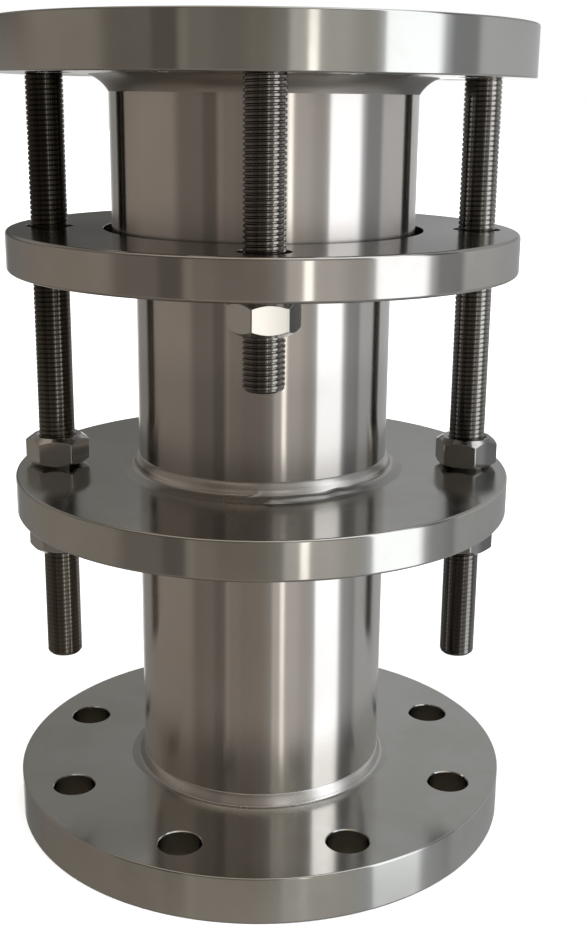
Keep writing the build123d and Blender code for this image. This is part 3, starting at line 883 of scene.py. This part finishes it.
def shade():
    """The unlit patch of floor under the part, which only the insides of its holes reflect."""
    s = Shape()
    s.disc(-0.4, True, 108.0, m=96)
    me = s.mesh("floor_shade")
    o = bpy.data.objects.new("floor_shade", me)
    bpy.context.scene.collection.objects.link(o)
    m = bpy.data.materials.new("floor_shade_paint")
    m.use_nodes = True
    p = m.node_tree.nodes["Principled BSDF"]
    p.inputs["Base Color"].default_value = rgb(0.20, 0.172, 0.134)
    p.inputs["Roughness"].default_value = 1.0
    p.inputs["Specular IOR Level"].default_value = 0.0
    me.materials.append(m)
    o.visible_camera = o.visible_diffuse = o.visible_shadow = False
    return o


floor()
shade()


# ---- light: a studio round the object, seen only in its reflections, and lamps for the floor ---------------------------
def studio():
    w = bpy.data.worlds.new("studio")
    bpy.context.scene.world = w
    w.use_nodes = True
    t = w.node_tree
    t.nodes.clear()
    k = Nodes(t)
    d = t.nodes.new("ShaderNodeTexCoord").outputs["Generated"]
    x, y, z = k.xyz(d)[:3]
    # azimuth from the front (-Y) toward +X and elevation, in degrees
    az = k.math("MULTIPLY", k.math("ARCTAN2", x, k.math("MULTIPLY", y, -1.0)), 180 / math.pi)
    el = k.math("MULTIPLY", k.math("ARCSINE", z), 180 / math.pi)

    def window(v, a, b, sa, sb=None):
        sb = sa if sb is None else sb
        return k.math("MULTIPLY", k.span(v, a - sa, a + sa), k.span(v, b - sb, b + sb, 1.0, 0.0))

    # lower down and higher up, everything stands a little further to the right
    sunk = k.math("MULTIPLY", k.math("MAXIMUM", k.math("MULTIPLY", k.math("ADD", el, 8.0), -1.0), 0.0), 0.22)
    sunk = k.math("ADD", sunk, k.math("MULTIPLY", k.math("MAXIMUM", k.math("SUBTRACT", el, 14.0), 0.0), 0.24))
    low = k.math("SUBTRACT", az, sunk)
    # walls: dim and warm on the left, lighter and neutral on the right, in upright panels
    walls = k.span(az, -3.0, 7.0, 0.20, 0.255)
    for a, b, sa, gain in (
        (-300.0, -68.0, 6.0, 0.070),
        (-68.0, -33.0, 3.0, -0.038),
        (-46.0, -35.5, 1.5, -0.050),
        (-35.0, -31.0, 1.0, 0.085),
        (-31.0, -21.0, 2.0, 0.025),
        (8.5, 300.0, 1.2, 0.305),
        (34.0, 300.0, 5.0, -0.12),
        (44.0, 300.0, 1.0, 0.10),
    ):
        walls = k.math("ADD", walls, k.math("MULTIPLY", window(low if a > 40 else az, a, b, sa), gain))
    # a dark doorway on the right, which shows less lower down
    door = k.math("MULTIPLY", window(low, 78.0, 94.5, 2.5), k.span(el, -4.0, -20.0, 0.27, 0.16))
    door = k.math("MULTIPLY", door, k.span(el, 12.0, 26.0, 1.0, 1.26))
    walls = k.math("SUBTRACT", walls, door)
    # the right wall is darker lower down, and all of it lighter above
    right = k.span(az, 84.0, 98.0)
    walls = k.math("SUBTRACT", walls, k.math("MULTIPLY", k.math("MULTIPLY", right, k.span(el, -4.0, -19.0)), 0.12))
    # on the left the table's edge is darker, and in front the wall above the lamps
    left_low = k.math("MULTIPLY", k.span(az, -55.0, -75.0), k.span(el, -20.0, -30.0))
    walls = k.math("MULTIPLY", walls, k.math("SUBTRACT", 1.0, k.math("MULTIPLY", left_low, 0.25)))
    walls = k.math("MULTIPLY", walls, k.span(el, 10.0, 19.0, 1.0, 0.56))
    walls = k.math("MULTIPLY", walls, k.math("ADD", 1.0, k.math("MULTIPLY", k.span(el, -4.0, 1.0), 0.10)))
    # two panels are dimmer near the top
    pair = k.math("ADD", window(az, -37.0, -8.0, 2.0), window(az, 21.0, 46.0, 2.0))
    walls = k.math("MULTIPLY", walls, k.math("SUBTRACT", 1.0, k.math("MULTIPLY", pair, k.span(el, -7.0, -3.0, 0.0, 0.15))))
    # the panels end at the floor, and behind the object also just above the horizon
    plain = k.span(az, -120.0, 40.0, 0.24, 0.42)
    plain = k.math("MULTIPLY", plain, k.span(el, -48.0, -36.0, 0.55, 1.0))
    # just above the horizon it is darker behind, most of all on the left, and it grows lighter higher up
    climb = k.span(el, 4.0, 28.0, 0.0, 1.0, False)
    near, far = k.span(x, -0.1, 0.3, 0.42, 0.95), k.span(x, -0.1, 0.3, 1.12, 1.03)
    rise = k.math("ADD", near, k.math("MULTIPLY", climb, k.math("SUBTRACT", far, near)))
    hump = k.math("MULTIPLY", window(el, 13.0, 25.0, 2.5), k.span(x, -0.1, 0.3, 0.34, 0.06))
    rise = k.math("MULTIPLY", rise, k.math("ADD", hump, k.span(el, 29.0, 33.0, 1.0, 0.88)))
    rise = k.math("ADD", 1.0, k.math("MULTIPLY", k.span(el, -2.0, 2.0), k.math("SUBTRACT", rise, 1.0)))
    plain = k.math("MULTIPLY", plain, rise)
    behind = k.math("SUBTRACT", 1.0, window(az, -112.0, 112.0, 12.0))
    upper = k.math("MULTIPLY", behind, k.span(el, 3.0, 10.0))
    upper = k.math("MAXIMUM", upper, k.span(el, 42.0, 55.0))
    even = k.math("MAXIMUM", upper, k.span(el, -36.0, -28.0, 1.0, 0.0))
    sink = k.math("MULTIPLY", k.math("MULTIPLY", behind, k.span(el, 1.0, 4.0)), k.math("SUBTRACT", 1.0, near))
    walls = k.math("MULTIPLY", walls, k.math("SUBTRACT", 1.0, sink))
    level = k.math("ADD", k.math("MULTIPLY", walls, k.math("SUBTRACT", 1.0, even)), k.math("MULTIPLY", plain, even))
    # bright backdrop behind the object, from the horizon down to the table's far edge, dimmer on the left near the top
    back = k.math("SUBTRACT", 1.0, window(az, -160.0, 166.0, 6.0, 5.0))
    back = k.math("MULTIPLY", back, window(el, -38.0, 0.5, 6.0, 2.5))
    dim = k.math("MULTIPLY", k.span(x, 0.10, -0.10), k.span(el, -10.0, -3.0))
    level = k.math("ADD", level, k.math("MULTIPLY", back, k.math("SUBTRACT", 0.82, k.math("MULTIPLY", dim, 0.52))))
    # strip light and large soft box in front, on the right, and a panel overhead
    top_lit = k.math("SUBTRACT", k.span(el, 14.0, 30.0), k.math("MULTIPLY", window(el, 4.8, 11.0, 1.5, 3.0), 1.0))
    reach = window(el, -32.0, 48.0, 5.0, 8.0)
    strip = k.math("MULTIPLY", window(az, 15.9, 19.7, 0.6), window(el, -24.0, 7.0, 2.0, 3.0))
    box = k.math("MULTIPLY", window(low, 47.2, 73.6, 0.9, 2.8), reach)
    level = k.math("ADD", level, k.math("MULTIPLY", strip, 1.5))
    level = k.math("ADD", level, k.math("MULTIPLY", box, k.math("ADD", 1.22, k.math("MULTIPLY", top_lit, 0.45))))
    over = k.math("MULTIPLY", k.span(el, 46.0, 62.0), k.span(x, -0.1, 0.5, 0.27, 1.15))
    level = k.math("ADD", level, over)
    # warm on the left, neutral in front, cool on the right and behind
    tint = k.mix(k.span(az, -2.0, 9.0), rgb(1.0, 0.88, 0.765), rgb(1.0, 0.957, 0.90))
    tint = k.mix(k.span(az, 40.0, 50.0), tint, rgb(0.96, 0.985, 1.02))
    tint = k.mix(k.span(az, 80.0, 95.0), tint, rgb(0.978, 0.985, 0.998))
    tint = k.mix(k.span(az, -115.0, -150.0), tint, rgb(0.975, 0.945, 0.90))
    warm = k.mix(back, tint, rgb(1.0, 0.985, 0.965))
    n = t.nodes.new("ShaderNodeVectorMath")
    n.operation = "SCALE"
    k.put(n.inputs[0], warm)
    k.put(n.inputs["Scale"], level)
    lit = t.nodes.new("ShaderNodeBackground")
    k.put(lit.inputs["Color"], n.outputs[0])
    pale = t.nodes.new("ShaderNodeBackground")
    pale.inputs["Color"].default_value = rgb(1.0)
    path = t.nodes.new("ShaderNodeLightPath")
    mix = t.nodes.new("ShaderNodeMixShader")
    k.put(mix.inputs[0], path.outputs["Is Camera Ray"])
    k.put(mix.inputs[1], lit.outputs[0])
    k.put(mix.inputs[2], pale.outputs[0])
    out = t.nodes.new("ShaderNodeOutputWorld")
    k.put(out.inputs["Surface"], mix.outputs[0])


studio()


def sun(name, direction, strength, angle):
    """A broad lamp that lights the floor and casts soft shadows, and leaves no glare on the steel."""
    l = bpy.data.lights.new(name, "SUN")
    l.energy, l.angle = strength, math.radians(angle)
    o = bpy.data.objects.new(name, l)
    bpy.context.scene.collection.objects.link(o)
    o.rotation_euler = Vector(direction).to_track_quat("-Z", "Y").to_euler()
    o.visible_glossy = False
    return o


sun("key_lamp", (0.35, 0.45, -1.0), 2.6, 70)
sun("fill_lamp", (-0.5, 0.2, -1.0), 2.0, 100)


# ---- camera ------------------------------------------------------------------------------------------------------------
def camera():
    f_px, yaw, pitch, roll = 1326.1231, -0.0410, 0.2753, 0.0120
    place = Vector((-9.6809, -565.7223, 315.4501)) * MM
    c, s, cp, sp = math.cos(yaw), math.sin(yaw), math.cos(pitch), math.sin(pitch)
    right = Vector((c, s, 0.0))
    ahead = Vector((-s * cp, c * cp, -sp))
    up = Vector((-s * sp, c * sp, cp))
    cr, sr = math.cos(roll), math.sin(roll)
    r2, u2 = right * cr + up * sr, up * cr - right * sr
    cam = bpy.data.cameras.new("camera")
    cam.sensor_width, cam.sensor_fit = 36.0, "AUTO"
    cam.lens = 36.0 * f_px / 941.0
    cam.clip_start, cam.clip_end = 0.01, 100.0
    o = bpy.data.objects.new("camera", cam)
    bpy.context.scene.collection.objects.link(o)
    m = Matrix((r2, u2, -ahead)).transposed().to_4x4()
    m.translation = place
    o.matrix_world = m
    bpy.context.scene.camera = o


camera()

view = bpy.context.scene.view_settings
view.view_transform = "Standard"
view.look = "None"
view.exposure = 0.0
view.gamma = 1.0
